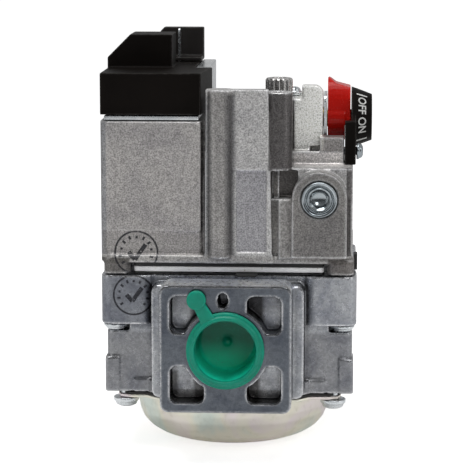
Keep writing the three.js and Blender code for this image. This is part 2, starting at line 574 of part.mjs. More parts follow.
function bezel() {
  const [x0, x1] = BEZEL.x;
  const { y, z } = COCK;
  const armTop = 133.6;
  const tie = polygon([
    [BEZEL.armY[0], 116.2], [BEZEL.armY[1], 116.2], [-4, z - 11.4], [-4, z + 2], [-12, z + 2],
    [BEZEL.armY[0], armTop],
  ]);
  const body = join(
    bar("x", [y, z], [x0, x1], BEZEL.backR, 40, BEZEL.frontR),
    prism("yz", tie, [x0, x0 + 1.8]),
    box([BEZEL.armX, x0 + 1.8], [BEZEL.armY[0], BEZEL.armY[0] + 6], [116.2, armTop]),
    box([BEZEL.armX, x0 + 1.8], BEZEL.armY, [116.2, 127]),
  );
  return cut(
    body,
    bar("x", [y, z], [x0 - 1, LEVER.pinX + 1], BEZEL.pinR, 20),
    bar("x", [y, z], [x1 - 0.6, x1 + 1], BEZEL.frontR - 1.4, 32),
    bar("x", [BEZEL_SCREW.y, BEZEL_SCREW.z], [BEZEL.armX - 1, x0 + 3], 2, 12),
  );
}

// ---------------------------------------------------------------- plugs, caps and fittings
function tapPlug(sign) {
  const face = sign < 0 ? TAP.frontY : TAP.backY;
  const along = (near, far) => [face + sign * near, face + sign * far].sort((a, b) => a - b);
  const at = [TAP.x, TAP.z];
  const body = join(
    bar("y", at, along(-0.9, 1), TAP.headR, 32),
    bar("y", at, along(-13, -0.5), TAP.r, 24),
  );
  return cut(body, bar("y", at, along(-5.5, 2), 3.9, 6), bar("y", at, along(0.4, 2), 5.6, 28));
}

function pilotFitting() {
  const at = [-1, 96];
  const body = join(bar("y", at, [43.3, 51], 6.4, 6), bar("y", at, [35, 44], 4.1, 18));
  return cut(body, bar("y", at, [34, 52], 2.1, 14), bar("y", at, [48, 52], 3.6, 18, 4.6));
}

function inletCap() {
  const { ringR, ringY, tubeR, cupR, endY } = CAP;
  const knob = [-11.2, PORT.z + 20.1];
  const angle = Math.atan2(knob[1] - PORT.z, knob[0]);
  const arm = new THREE.BoxGeometry(12, 1.6, 5).rotateY(-angle);
  arm.translate(17 * Math.cos(angle), ringY[1] - 1.2, PORT.z + 17 * Math.sin(angle));
  const body = join(
    bar("y", [0, PORT.z], [ringY[1] - 2, ringY[1]], ringR, 40),
    bar("y", [0, PORT.z], [ringY[0], ringY[1]], 13.6, 40),
    bar("y", [0, PORT.z], [endY, ringY[1]].sort((a, b) => a - b), tubeR, 36),
    solid(arm),
    bar("y", knob, [ringY[1] - 2.4, ringY[1]], 3.5, 20),
  );
  return cut(body, bar("y", [0, PORT.z], [ringY[0] - 1, endY - 1.3], cupR, 36));
}

function inletScreen() {
  const ys = [-PORT.shoulderY - 1.1, -PORT.shoulderY - GAP];
  let body = bar("y", [0, PORT.z], ys, PORT.r - GAP, 28);
  for (const { count, r } of [{ count: 1, r: 0 }, { count: 6, r: 6.5 }]) {
    for (let i = 0; i < count; i += 1) {
      const angle = (i / count) * Math.PI * 2;
      const at = [r * Math.cos(angle), PORT.z + r * Math.sin(angle)];
      body = cut(body, bar("y", at, [ys[0] - 1, ys[1] + 1], 2.6, 8));
    }
  }
  return body;
}

// ---------------------------------------------------------------- the assembly
piece("lower_casting", lowerCasting(), MAT.casting);
piece("upper_casting", upperCasting(), MAT.casting);
piece("lower_gasket", sheet(Z.lowerGasket, SEAT.upperR, true), MAT.rubber);
piece("divider_plate", sheet(Z.plate, 0, false), MAT.zinc);
piece("upper_gasket", sheet(Z.upperGasket, 0, false), MAT.rubber);
piece("dish_cover", dish(), MAT.chromate);
piece("main_diaphragm", mainDiaphragm(), MAT.rubber);
buildMainValve();
COILS.forEach(buildSolenoid);

piece("coil_frame", coilFrame(), MAT.zinc);
piece("terminal_cover", terminalCover(), MAT.black);
piece("terminal_block", terminalBlock(), MAT.black);
BLADES.forEach((x, i) => piece(`spade_terminal_${i + 1}`, blade(x, BLADE_TOPS[i]), MAT.zinc));
COVER_SCREWS.forEach((at, i) => {
  const size = { headAt: Z.cover[1] - 2.7, dir: 1, headR: 2.6, headH: 1.8, shankR: 1.5, shankL: 17 };
  piece(`cover_screw_${i + 1}`, screw("z", at, { ...size, slot: 0.7, sides: 12 }), MAT.zinc);
});

piece("regulator_cap", flutedCap(), MAT.dark);
piece("regulator_adjuster", slottedPlug(REGULATOR.x, REGULATOR.y, 4.6, [129, 135]), MAT.brass);
piece("regulator_spring", helix(REGULATOR.x, REGULATOR.y, 3.4, 0.5, [105.9, 128.7], 5), MAT.steel);
piece("regulator_button", bar("z", [REGULATOR.x, REGULATOR.y], [102.3, 105.6], 4.5, 20), MAT.nylon);
piece("pilot_adjust_screw", slottedPlug(PILOT_TUBE.boreX, PILOT_TUBE.y, 3.3, [134, 141]), MAT.brass);

piece("cock_plug", cockPlug(), MAT.brass);
piece("cock_retainer", cut(
  prism("yz", roundedRect([-11, 11], [122, 143], 3), [37.3, 38.6]),
  bar("x", [COCK.y, COCK.z], [37, 39], COCK.stemR + 0.4, 18),
), MAT.zinc);
piece("gas_lever", lever(), MAT.red);
piece("dial_bezel", bezel(), MAT.black);
piece("bezel_screw", screw("x", [BEZEL_SCREW.y, BEZEL_SCREW.z], {
  headAt: BEZEL.x[0] + 2.1, dir: 1, headR: 3.4, headH: 2.7, shankR: 1.6, shankL: 14, slot: 0.8,
}), MAT.zinc);

piece("inlet_tap_plug", tapPlug(-1), MAT.zinc);
piece("outlet_tap_plug", tapPlug(1), MAT.zinc);
piece("vent_plug", screw("z", [VENT_PLUG.x, VENT_PLUG.y], {
  headAt: 142.3, dir: 1, headR: 3.2, headH: 3.4, shankR: 2, shankL: 1.6,
}), MAT.zinc);
piece("pilot_fitting", pilotFitting(), MAT.brass);
piece("side_clip", join(box([49.9, 51.4], [-23, -17], [73, 79.4]), box([49.9, 51.4], [-23, -17], [73, 74.4])),
  MAT.rubber);
piece("inlet_cap", inletCap(), MAT.green);
piece("inlet_screen", inletScreen(), MAT.zinc);

for (const corner of CORNERS) {
  const { sx, sy } = corner;
  piece(`body_screw_${cornerName(corner)}`, screw("z", [sx * EAR.screwX, sy * EAR.screwY], {
    headAt: EAR.bottomZ - GAP, dir: -1, headR: 4.8, headH: 2.7, shankR: 2.2, shankL: 26,
  }), MAT.zinc);
  piece(`dish_screw_${cornerName(corner)}`, screw("z", [sx * PAD.x, sy * PAD.y], {
    headAt: Z.dishFlange[0] - GAP, dir: -1, headR: 5.2, headH: 4, shankR: 2, shankL: 14, slot: 1,
  }), MAT.zinc);
}

export default group;
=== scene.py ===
"""Looks for the gas valve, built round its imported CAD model: camera, stage, materials and finer pieces."""
import json
import math
import random

import bmesh
import bpy
from mathutils import Matrix, Vector


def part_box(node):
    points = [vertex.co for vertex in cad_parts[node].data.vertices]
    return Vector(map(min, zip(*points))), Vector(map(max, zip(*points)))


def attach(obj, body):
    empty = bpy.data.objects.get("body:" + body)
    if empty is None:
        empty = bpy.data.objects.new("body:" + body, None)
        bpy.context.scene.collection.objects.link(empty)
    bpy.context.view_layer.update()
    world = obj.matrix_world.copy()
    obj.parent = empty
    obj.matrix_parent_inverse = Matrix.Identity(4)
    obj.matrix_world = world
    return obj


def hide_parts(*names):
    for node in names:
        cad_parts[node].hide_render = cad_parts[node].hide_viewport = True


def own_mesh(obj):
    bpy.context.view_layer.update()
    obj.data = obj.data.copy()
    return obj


MM = 0.001
TAU = 2 * math.pi
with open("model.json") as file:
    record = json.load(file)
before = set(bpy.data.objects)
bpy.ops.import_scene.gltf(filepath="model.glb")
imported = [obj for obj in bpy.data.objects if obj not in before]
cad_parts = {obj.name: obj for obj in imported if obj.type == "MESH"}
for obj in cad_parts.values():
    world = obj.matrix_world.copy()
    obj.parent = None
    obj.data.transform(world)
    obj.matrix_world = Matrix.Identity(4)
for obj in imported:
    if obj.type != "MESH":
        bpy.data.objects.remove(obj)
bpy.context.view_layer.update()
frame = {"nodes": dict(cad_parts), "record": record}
nodes = frame["nodes"]
rng = random.Random(11)

CORNERS = ["inlet_left", "inlet_right", "outlet_left", "outlet_right"]
SLOT_OF = {part["node"]: part["material_slot"] for part in frame["record"]["subparts"]}
BODY_OF = {n: body for body, members in frame["record"]["behaviour"]["bodies"].items() for n in members}


# ---------------------------------------------------------------- camera, stage and light
AIM = Vector((-0.75, 0, 84.4)) * MM
AZIMUTH, ELEVATION, DISTANCE = math.radians(3.05), math.radians(9.0), 0.850
LENS_MM, SENSOR_MM = 157.8, 36.0


def place_camera():
    towards = Vector((math.sin(AZIMUTH) * math.cos(ELEVATION), -math.cos(AZIMUTH) * math.cos(ELEVATION),
                      math.sin(ELEVATION)))
    data = bpy.data.cameras.new("photo_camera")
    data.lens = LENS_MM
    data.sensor_width = SENSOR_MM
    data.clip_start = 0.01
    data.clip_end = 50
    camera = bpy.data.objects.new("photo_camera", data)
    bpy.context.scene.collection.objects.link(camera)
    turned = towards.to_track_quat("Z", "Y").to_matrix().to_4x4()
    camera.matrix_world = Matrix.Translation(AIM + towards * DISTANCE) @ turned
    bpy.context.scene.camera = camera


def area_light(name, at, size, watts, colour=(1, 1, 1)):
    data = bpy.data.lights.new(name, "AREA")
    data.shape = "RECTANGLE"
    data.size, data.size_y = size
    data.energy = watts
    data.color = colour
    light = bpy.data.objects.new(name, data)
    bpy.context.scene.collection.objects.link(light)
    place = Vector(at)
    turned = (place - AIM).to_track_quat("Z", "Y").to_matrix().to_4x4()
    light.matrix_world = Matrix.Translation(place) @ turned


def studio():
    """A bright white room whose camera side is dimmer, so that metal reads against it."""
    world = bpy.data.worlds.new("studio")
    bpy.context.scene.world = world
    world.use_nodes = True
    tree = world.node_tree
    back = tree.nodes["Background"]
    coords = tree.nodes.new("ShaderNodeTexCoord")
    ramp = tree.nodes.new("ShaderNodeValToRGB")
    scale = tree.nodes.new("ShaderNodeMapRange")
    dot = tree.nodes.new("ShaderNodeVectorMath")
    dot.operation = "DOT_PRODUCT"
    dot.inputs[1].default_value = (0, 0.55, 0.85)
    tree.links.new(coords.outputs["Generated"], dot.inputs[0])
    tree.links.new(dot.outputs["Value"], scale.inputs["Value"])
    scale.inputs["From Min"].default_value = -1
    tree.links.new(scale.outputs[0], ramp.inputs[0])
    tree.links.new(ramp.outputs[0], back.inputs["Color"])
    ramp.color_ramp.elements[0].position = 0.25
    ramp.color_ramp.elements[0].color = (0.10, 0.103, 0.11, 1)
    ramp.color_ramp.elements[1].position = 0.85
    ramp.color_ramp.elements[1].color = (1.0, 1.0, 1.0, 1)
    back.inputs["Strength"].default_value = 0.5
    area_light("top_softbox", (-0.1, -0.2, 0.95), (0.7, 0.5), 5.0)
    area_light("left_softbox", (-0.8, -0.55, 0.35), (0.35, 0.8), 0.8)
    area_light("right_softbox", (0.85, -0.35, 0.4), (0.3, 0.8), 1.2)
    area_light("front_key", (0.35, -0.9, 0.65), (0.3, 0.3), 1.2)

    bpy.ops.mesh.primitive_grid_add(x_subdivisions=8, y_subdivisions=8, size=14)
    floor = bpy.context.object
    floor.name = "studio_floor"
    look = Look("floor_paper", rough=0.8)
    grain = look.noise(0.02, detail=3)
    paper = look.mix(look.ramp(grain, 0.3, 0.7), (0.86, 0.86, 0.86), (0.89, 0.89, 0.89))
    look.set("Base Color", paper)
    look.set("Emission Color", paper)
    seen = look.add("ShaderNodeLightPath").outputs["Is Camera Ray"]
    look.set("Emission Strength", look.ramp(seen, 0.0, 1.0, 0.10, 0.75))
    floor.data.materials.append(look.mat)
    bpy.context.scene.view_settings.view_transform = "Standard"


# ---------------------------------------------------------------- materials
class Look:
    """A procedural material. Its coordinates are millimetres in the frame of the part."""

    def __init__(self, name, metal=0.0, rough=0.5, **sockets):
        self.mat = bpy.data.materials.new(name)
        self.mat.use_nodes = True
        self.tree = self.mat.node_tree
        self.bsdf = self.tree.nodes["Principled BSDF"]
        self.set("Metallic", metal)
        self.set("Roughness", rough)
        for key, value in sockets.items():
            self.set(key.replace("_", " "), value)
        place = self.add("ShaderNodeTexCoord").outputs["Object"]
        scaled = self.add("ShaderNodeVectorMath", {"Vector": place, "Scale": 1 / MM}, operation="SCALE")
        self.mm = scaled.outputs[0]
        self.facing = self.add("ShaderNodeNewGeometry").outputs["Normal"]

    def feed(self, socket, value):
        if isinstance(value, bpy.types.NodeSocket):
            self.tree.links.new(value, socket)
        elif socket.type == "RGBA" and len(value) == 3:
            socket.default_value = (*value, 1)
        else:
            socket.default_value = value

    def add(self, kind, inputs=None, **props):
        node = self.tree.nodes.new(kind)
        for key, value in props.items():
            setattr(node, key, value)
        for key, value in (inputs or {}).items():
            self.feed(node.inputs[key], value)
        return node

    def set(self, socket, value):
        self.feed(self.bsdf.inputs[socket], value)

    def math(self, operation, a, b=0.0, clamp=False):
        return self.add("ShaderNodeMath", {0: a, 1: b}, operation=operation, use_clamp=clamp).outputs[0]

    def vector(self, operation, a, b):
        node = self.add("ShaderNodeVectorMath", {0: a, 1: b}, operation=operation)
        return node.outputs["Value"] if operation == "DOT_PRODUCT" else node.outputs[0]

    def stretched(self, scale):
        return self.vector("MULTIPLY", self.mm, scale)

    def noise(self, per_mm, detail=4, rough=0.55, at=None, distortion=0.0):
        inputs = {"Vector": at or self.mm, "Scale": per_mm, "Detail": detail, "Roughness": rough,
                  "Distortion": distortion}
        return self.add("ShaderNodeTexNoise", inputs).outputs[0]

    def cells(self, per_mm):
        return self.add("ShaderNodeTexVoronoi", {"Vector": self.mm, "Scale": per_mm}).outputs[0]

    def ramp(self, value, low, high, to_low=0.0, to_high=1.0):
        inputs = {"Value": value, "From Min": low, "From Max": high, "To Min": to_low, "To Max": to_high}
        return self.add("ShaderNodeMapRange", inputs, interpolation_type="SMOOTHSTEP").outputs[0]

    def mix(self, factor, a, b, blend="MIX"):
        node = self.add("ShaderNodeMix", data_type="RGBA", blend_type=blend)
        self.feed(node.inputs[0], factor)
        self.feed(node.inputs[6], a)
        self.feed(node.inputs[7], b)
        return node.outputs[2]

    def tint(self, colour, mask, by):
        return self.mix(mask, colour, by, "MULTIPLY")

    def bump(self, height, depth_mm, strength=1.0, under=None):
        inputs = {"Height": height, "Distance": depth_mm * MM, "Strength": strength}
        if under:
            inputs["Normal"] = under
        return self.add("ShaderNodeBump", inputs).outputs[0]

    def within(self, low, high, soft=0.5):
        """1 inside a box in millimetres, falling to 0 at its walls."""
        near = self.vector("SUBTRACT", self.mm, low)
        far = self.vector("SUBTRACT", self.vector("MULTIPLY", self.mm, (-1, -1, -1)), [-h for h in high])
        least = self.add("ShaderNodeSeparateXYZ", {0: self.vector("MINIMUM", near, far)})
        sideways = self.math("MINIMUM", least.outputs[0], least.outputs[1])
        inner = self.math("MINIMUM", sideways, least.outputs[2])
        return self.math("MULTIPLY", inner, 1 / soft, clamp=True)

    def openness(self, reach_mm, inside):
        """How much of the sky a point sees within the reach, outside its own surface or inside it."""
        return self.add("ShaderNodeAmbientOcclusion", {"Distance": reach_mm * MM}, inside=inside,
                        only_local=True, samples=6).outputs["AO"]

    def ridges(self, reach_mm):
        """1 on a sharp outer edge, 0 on a face further than the reach from one."""
        return self.ramp(self.openness(reach_mm, inside=True), 0.94, 0.60)

    def hollows(self, reach_mm):
        """1 in an inner corner or a narrow gap, 0 in the open."""
        return self.ramp(self.openness(reach_mm, inside=False), 0.95, 0.40)

    def towards(self, direction):
        return self.ramp(self.vector("DOT_PRODUCT", self.facing, direction), 0.3, 0.7)


# Each stamp's centre (x, z) and radius in millimetres.
STAMPS = {"casting_upper": ((-36.9, 82.2), 8.5), "casting_lower": ((-38.0, 65.2), 7.9)}
STAMP_DASHES = 14
INK = (0.03, 0.03, 0.035)


def ink_stamp(look, colour, centre, radius):
    """A plain inspector's stamp on a front face: a thin ring, short dashes inside it, and a tick."""
    offset = look.vector("SUBTRACT", look.mm, (centre[0], 0, centre[1]))
    flat = look.vector("MULTIPLY", offset, (1, 0, 1))
    distance = look.math("SQRT", look.vector("DOT_PRODUCT", flat, flat))
    marks = [look.ramp(look.math("ABSOLUTE", look.math("SUBTRACT", distance, radius)), 0.22, 0.52, 1, 0)]
    strokes = [((-0.36, 0.02), (-0.06, -0.32), 0.85), ((-0.06, -0.32), (0.44, 0.38), 0.85)]
    for i in range(STAMP_DASHES):
        angle = TAU * i / STAMP_DASHES + 0.2
        if math.sin(angle) > -0.75:
            inner, outer = 0.66, 0.84 if i % 3 else 0.78
            strokes.append(((inner * math.cos(angle), inner * math.sin(angle)),
                            (outer * math.cos(angle), outer * math.sin(angle)), 0.45))
    for (u0, v0), (u1, v1), width in strokes:
        start = Vector((u0, 0, v0)) * radius
        end = Vector((u1, 0, v1)) * radius
        middle, half = (start + end) / 2, (end - start) / 2
        along = half.normalized()
        across = Vector((-along.z, 0, along.x))
        local = look.vector("SUBTRACT", flat, middle)
        u = look.math("ABSOLUTE", look.vector("DOT_PRODUCT", local, along))
        v = look.math("ABSOLUTE", look.vector("DOT_PRODUCT", local, across))
        marks.append(look.math("MULTIPLY", look.ramp(u, half.length - 0.1, half.length + 0.1, 1, 0),
                               look.ramp(v, width - 0.1, width + 0.1, 1, 0)))
    ink = marks[0]
    for mark in marks[1:]:
        ink = look.math("MAXIMUM", ink, mark)
    worn = look.ramp(look.noise(1.3, detail=3), 0.28, 0.42)
    ink = look.math("MULTIPLY", look.math("MULTIPLY", ink, worn), look.towards((0, -1, 0)))
    front = look.within((centre[0] - 12, -46, centre[1] - 12), (centre[0] + 12, -38, centre[1] + 12))
    return look.mix(look.math("MULTIPLY", look.math("MULTIPLY", ink, front), 0.95), colour, INK)


def casting(name, dark, light, rough, metal, grain, tone_and_painted_light, smooth, cloud, streak=0.0):
    """Die-cast aluminium: blasted grain, cloudy stains, worn edges with a painted highlight, dirt and painted
    shade in corners, boxes of painted light and shade, machined boxes.
    """
    look = Look(name, metal=metal)
    fine = look.noise(1.7, detail=5, rough=0.7)
    broad = look.noise(0.055, detail=4, rough=0.6, distortion=0.6)
    pits = look.cells(1.3)
    colour = look.mix(look.ramp(fine, 0.5 - grain, 0.5 + grain), dark, light)
    colour = look.tint(colour, look.ramp(look.noise(0.75, detail=4), 0.42, 0.62), (0.84, 0.84, 0.84))
    colour = look.tint(colour, look.ramp(broad, 0.38, 0.68), cloud)
    colour = look.tint(colour, look.ramp(pits, 0.16, 0.05), (0.78, 0.77, 0.76))
    # Painted light and shade, with some of the metal's own tone, multiplied in box by box.
    for low, high, by, soft in tone_and_painted_light:
        colour = look.tint(colour, look.within(low, high, soft), by)
    if name in STAMPS:
        colour = ink_stamp(look, colour, *STAMPS[name])
    # Outer edges lightened: partly wear, partly a painted highlight along the rounded rims.
    wear_and_highlight_spread = look.ramp(look.noise(0.8, detail=4, rough=0.7), 0.35, 0.60, 0.35, 1.0)
    edge = look.math("MULTIPLY", look.ridges(1.2), wear_and_highlight_spread)
    colour = look.mix(look.math("MULTIPLY", edge, 0.85), colour, (0.92, 0.92, 0.93))
    # Corners and narrow gaps darkened: partly dirt, partly painted shade where light is blocked.
    dirt_and_shade_spread = look.ramp(look.noise(0.35, detail=5), 0.25, 0.55, 0.6, 1.0)
    colour = look.tint(colour, look.math("MULTIPLY", look.hollows(3.0), dirt_and_shade_spread), (0.20, 0.19, 0.18))
    look.set("Base Color", colour)
    polish = 0.0
    for low, high in smooth:
        polish = look.math("MAXIMUM", polish, look.within(low, high, 0.4))
    texture = look.ramp(look.noise(0.4, detail=5), 0.3, 0.7, rough - 0.07, rough + 0.08)
    texture = look.math("SUBTRACT", texture, look.math("MULTIPLY", polish, 0.14))
    look.set("Roughness", look.math("SUBTRACT", texture, look.math("MULTIPLY", edge, 0.12)))
    waves = look.bump(look.noise(0.12, detail=2), 0.5, 0.25)
    sand = look.bump(fine, 0.10, look.ramp(polish, 0.0, 1.0, 0.6, 0.15), waves)
    if streak:
        lines = look.noise(1.0, detail=3, at=look.stretched((0.15, 0.15, 5.0)))
        sand = look.bump(lines, streak, 0.5, sand)
    look.set("Normal", sand)
    return look.mat


# Duller and brighter areas of the castings, mostly painted light and shade (shaded recesses and pockets, a
# lit flange top, a brightened recessed cock housing) and partly the metal's own tone: lowest corner, highest
# corner, colour gain, soft edge in mm.
UPPER_TONE_AND_PAINTED_LIGHT = [
    ((15.7, -45, 115.4), (25.3, -28, 146.2), (0.21, 0.20, 0.20), 0.3),
    ((19.7, -37.9, 104.0), (27.5, -20, 115.4), (0.18, 0.17, 0.165), 0.2),
    ((14.5, -37.9, 104.2), (19.7, -20, 115.9), (0.26, 0.25, 0.24), 0.1),
    ((14.5, -40.9, 81.0), (20.3, -38.9, 104.6), (0.34, 0.33, 0.32), 0.1),
    ((-9.4, -47, 80.5), (2.5, -41.9, 147), (0.62, 0.61, 0.60), 0.3),
    ((-1.9, -47, 80.5), (3.4, -40.0, 147), (0.32, 0.32, 0.33), 1.8),
    ((-11.0, -47, 80.5), (-5.6, -38.0, 147), (0.40, 0.41, 0.42), 2.2),
    ((2.8, -41.6, 82.7), (15.2, -40.6, 115.7), (0.74, 0.74, 0.78), 0.2),
    ((25.2, -25, 121.2), (38, 21, 148), (1.85, 1.88, 1.80), 1.0),
    ((25.2, -35, 115), (49, -20, 121.2), (1.45, 1.42, 1.40), 0.5),
    ((36, -25, 121.2), (46.5, -14, 128), (0.62, 0.60, 0.59), 0.3),
    ((19.7, -44, 80), (26, -42.5, 105), (0.62, 0.61, 0.60), 0.2),
    ((24, -47, 80), (47.3, -43.5, 118), (0.46, 0.45, 0.44), 0.4),
    ((46.6, -43.4, 81), (49.0, -36.5, 118), (0.24, 0.23, 0.23), 0.3),
    ((-60, -50, 77.5), (60, -37, 81.7), (0.80, 0.79, 0.77), 0.8),
    ((-53, -52, 72), (-39, -34, 80.6), (0.33, 0.32, 0.31), 0.8),
    ((39, -52, 72), (53, -34, 80.6), (0.36, 0.34, 0.33), 0.8),
    ((-49, -41.6, 90.8), (-10, -39.5, 136), (0.82, 0.80, 0.79), 0.4),
    ((-52, -47, 81.2), (-9.6, -39.0, 91.2), (0.72, 0.70, 0.69), 0.4),
    ((-53, -50, 81.2), (-48.6, -36, 137), (0.60, 0.61, 0.63), 0.4),
]
UPPER_SMOOTH = [((-11.0, -47, 80.5), (3.0, -39.0, 147)), ((15.7, -45, 115.4), (25.3, -28, 146.2)),
                ((17.6, -41, 81.0), (27.5, -20, 115.4))]
# The lower casting's boxes: painted shade on the flange face and pocket floors, painted light on the flange's
# top.
LOWER_TONE_AND_PAINTED_LIGHT = [
    ((-27, -66, 20), (27, -62.6, 75), (0.29, 0.31, 0.34), 0.2),
    ((-25, -62.7, 60), (25, -50, 72), (0.62, 0.62, 0.63), 4.0),
    ((-25, -62.7, 22), (25, -50, 37), (0.85, 0.84, 0.83), 4.0),
    ((-25, -62.6, 22), (-18.8, -50, 38), (0.42, 0.41, 0.40), 1.2),
    ((-13.6, -62.6, 22), (-7, -50, 38), (0.34, 0.33, 0.32), 1.5),
    ((7, -62.6, 22), (13.8, -50, 38), (0.30, 0.29, 0.28), 1.6),
    ((7, -62.6, 57), (15.5, -50, 73), (0.22, 0.21, 0.20), 1.8),
    ((-14.6, -62.6, 57), (-7, -50, 73), (0.30, 0.30, 0.30), 1.5),
    ((-25, -62.6, 22), (25, -50, 30.2), (0.55, 0.54, 0.53), 0.6),
    ((-28, -63, 69.5), (28, -44, 74), (2.8, 2.8, 2.8), 0.4),
    ((28, -60, 50), (54, -30, 75), (0.98, 0.98, 0.99), 3.0),
    ((-54, -60, 50), (-28, -30, 75), (0.62, 0.63, 0.66), 2.0),
    ((-54, -45, 22), (-26, -30, 50.5), (0.68, 0.67, 0.67), 2.0),
    ((26, -45, 22), (54, -30, 50.5), (0.70, 0.69, 0.69), 2.0),
]
LOWER_SMOOTH = [((-27, -66, 20), (27, -62.6, 75))]


def sheet_metal(name, low, high, rough, brushed=(1, 1, 1), spots=0.0, metal=1.0):
    """Plated or bare metal with slow clouding, fine brushing and, where wanted, small dull stains."""
    look = Look(name, metal=metal)
    cloud = look.noise(0.09, detail=5, distortion=0.8)
    fine = look.noise(1.4, detail=4, at=look.stretched(brushed))
    colour = look.mix(look.ramp(cloud, 0.35, 0.65), low, high)
    colour = look.tint(colour, look.ramp(fine, 0.55, 0.8), (0.82, 0.83, 0.85))
    if spots:
        stain = look.ramp(look.noise(0.35, detail=4, rough=0.7), 0.60, 0.74)
        colour = look.tint(colour, stain, (1 - spots, 1 - spots * 1.1, 1 - spots * 1.3))
    look.set("Base Color", colour)
    look.set("Roughness", look.ramp(fine, 0.3, 0.7, rough - 0.06, rough + 0.08))
    look.set("Normal", look.bump(fine, 0.02, 0.35))
    return look.mat


def chromated(name):
    """Pale zinc plate whose thin chromate film drifts between straw, rose and faint green, with a painted
    reflection of the bright floor on its lowest part.
    """
    look = Look(name, metal=1.0)
    film = look.noise(0.036, detail=2, distortion=0.9)
    film_fine = look.noise(0.32, detail=5, rough=0.6)
    colour = look.mix(look.ramp(film, 0.34, 0.52), (0.65, 0.71, 0.65), (0.77, 0.742, 0.635))
    colour = look.mix(look.ramp(film, 0.50, 0.72), colour, (0.78, 0.70, 0.715))
    colour = look.tint(colour, look.ramp(film_fine, 0.5, 0.75), (0.90, 0.90, 0.88))
    # Painted reflection: the lowest part of the bowl is brightened as if lit by the floor below it.
    under = look.within((-60, -60, -20), (60, 60, 14), 7.0)
    colour = look.tint(colour, under, (1.22, 1.22, 1.24))
    look.set("Base Color", colour)
    look.set("Roughness", look.ramp(film_fine, 0.3, 0.7, 0.30, 0.42))
    look.set("Normal", look.bump(film_fine, 0.05, 0.3))
    return look.mat


def plastic(name, low, high, rough, grain_mm=0.35, depth=0.02, dust=None, edge=None, **sockets):
    """Moulded plastic: a fine spark-eroded grain, slow unevenness, dusty scuffs and paler edges, partly
    rubbed and partly a painted highlight.
    """
    look = Look(name, **sockets)
    fine = look.noise(1 / grain_mm, detail=4)
    colour = look.mix(look.ramp(look.noise(0.05, detail=4), 0.3, 0.7), low, high)
    scuffs = look.ramp(look.noise(0.5, detail=5, rough=0.75, at=look.stretched((1, 1, 0.3))), 0.60, 0.78)
    if dust:
        colour = look.mix(look.math("MULTIPLY", scuffs, 0.5), colour, dust)
    # Paler outer edges: partly rubbing, partly a painted highlight.
    if edge:
        uneven = look.ramp(look.noise(0.6, detail=4), 0.35, 0.6, 0.25, 1.0)
        colour = look.mix(look.math("MULTIPLY", look.ridges(0.6), uneven), colour, edge)
    look.set("Base Color", colour)
    look.set("Roughness", look.math("ADD", look.ramp(fine, 0.3, 0.7, rough - 0.04, rough + 0.05),
                                    look.math("MULTIPLY", scuffs, 0.1)))
    look.set("Normal", look.bump(fine, depth, 0.5, look.bump(look.noise(0.1, detail=2), 0.3, 0.15)))
    return look.mat


def green_cup(name):
    """Thin, waxy polyethylene: inside the cup the lower wall is painted bright and the upper wall dark,
    painted light from above together with the glow through the thin wall.
    """
    look = Look(name, rough=0.34, Specular_IOR_Level=0.25, Subsurface_Weight=0.35, Subsurface_Scale=2.5 * MM,
                Subsurface_Radius=(0.6, 1.0, 0.8))
    flow = look.noise(0.08, detail=4, distortion=1.0)
    colour = look.mix(look.ramp(flow, 0.3, 0.7), (0.002, 0.215, 0.140), (0.004, 0.275, 0.185))
    # Painted light inside the cup: the lower wall bright, the upper wall dark.
    inside = look.within((-13.0, -65.4, PORT_Z - 13.0), (13.0, -45.0, PORT_Z + 13.0), 1.6)
    below = look.ramp(look.vector("DOT_PRODUCT", look.mm, (0, 0, -1)), -PORT_Z - 2.0, -PORT_Z + 9.0)
    colour = look.mix(inside, colour, look.mix(below, (0.004, 0.20, 0.13), (0.010, 0.74, 0.48)))
    rubbed = look.ridges(0.5)
    colour = look.mix(look.math("MULTIPLY", rubbed, 0.5), colour, (0.03, 0.46, 0.33))
    haze = look.ramp(look.noise(0.6, detail=5, rough=0.7), 0.50, 0.72)
    look.set("Base Color", look.mix(look.math("MULTIPLY", haze, 0.35), colour, (0.03, 0.34, 0.25)))
    look.set("Roughness", look.ramp(haze, 0.0, 1.0, 0.30, 0.46))
    look.set("Normal", look.bump(look.noise(0.9, detail=4), 0.03, 0.5, look.bump(flow, 0.3, 0.2)))
    return look.mat


def windings(name):
    look = Look(name, metal=1.0, rough=0.3)
    turns = look.add("ShaderNodeTexWave", {"Vector": look.mm, "Scale": 0.9, "Distortion": 0.4},
                     bands_direction="Z").outputs[1]
    colour = look.mix(turns, (0.32, 0.12, 0.05), (0.72, 0.36, 0.18))
    look.set("Base Color", look.tint(colour, look.ramp(look.noise(0.2), 0.4, 0.7), (0.8, 0.75, 0.7)))
    look.set("Normal", look.bump(turns, 0.12, 0.9))
    return look.mat


PORT_Z, COCK_Z = 47.7, 133.0
MATERIALS = {}
OWN_FINISH = {"upper_casting": "casting_upper", "divider_plate": "plate_edge",
              "terminal_block": "block_plastic", "inlet_tap_plug": "zinc_screw",
              "outlet_tap_plug": "zinc_screw", "bezel_screw": "zinc_screw"}


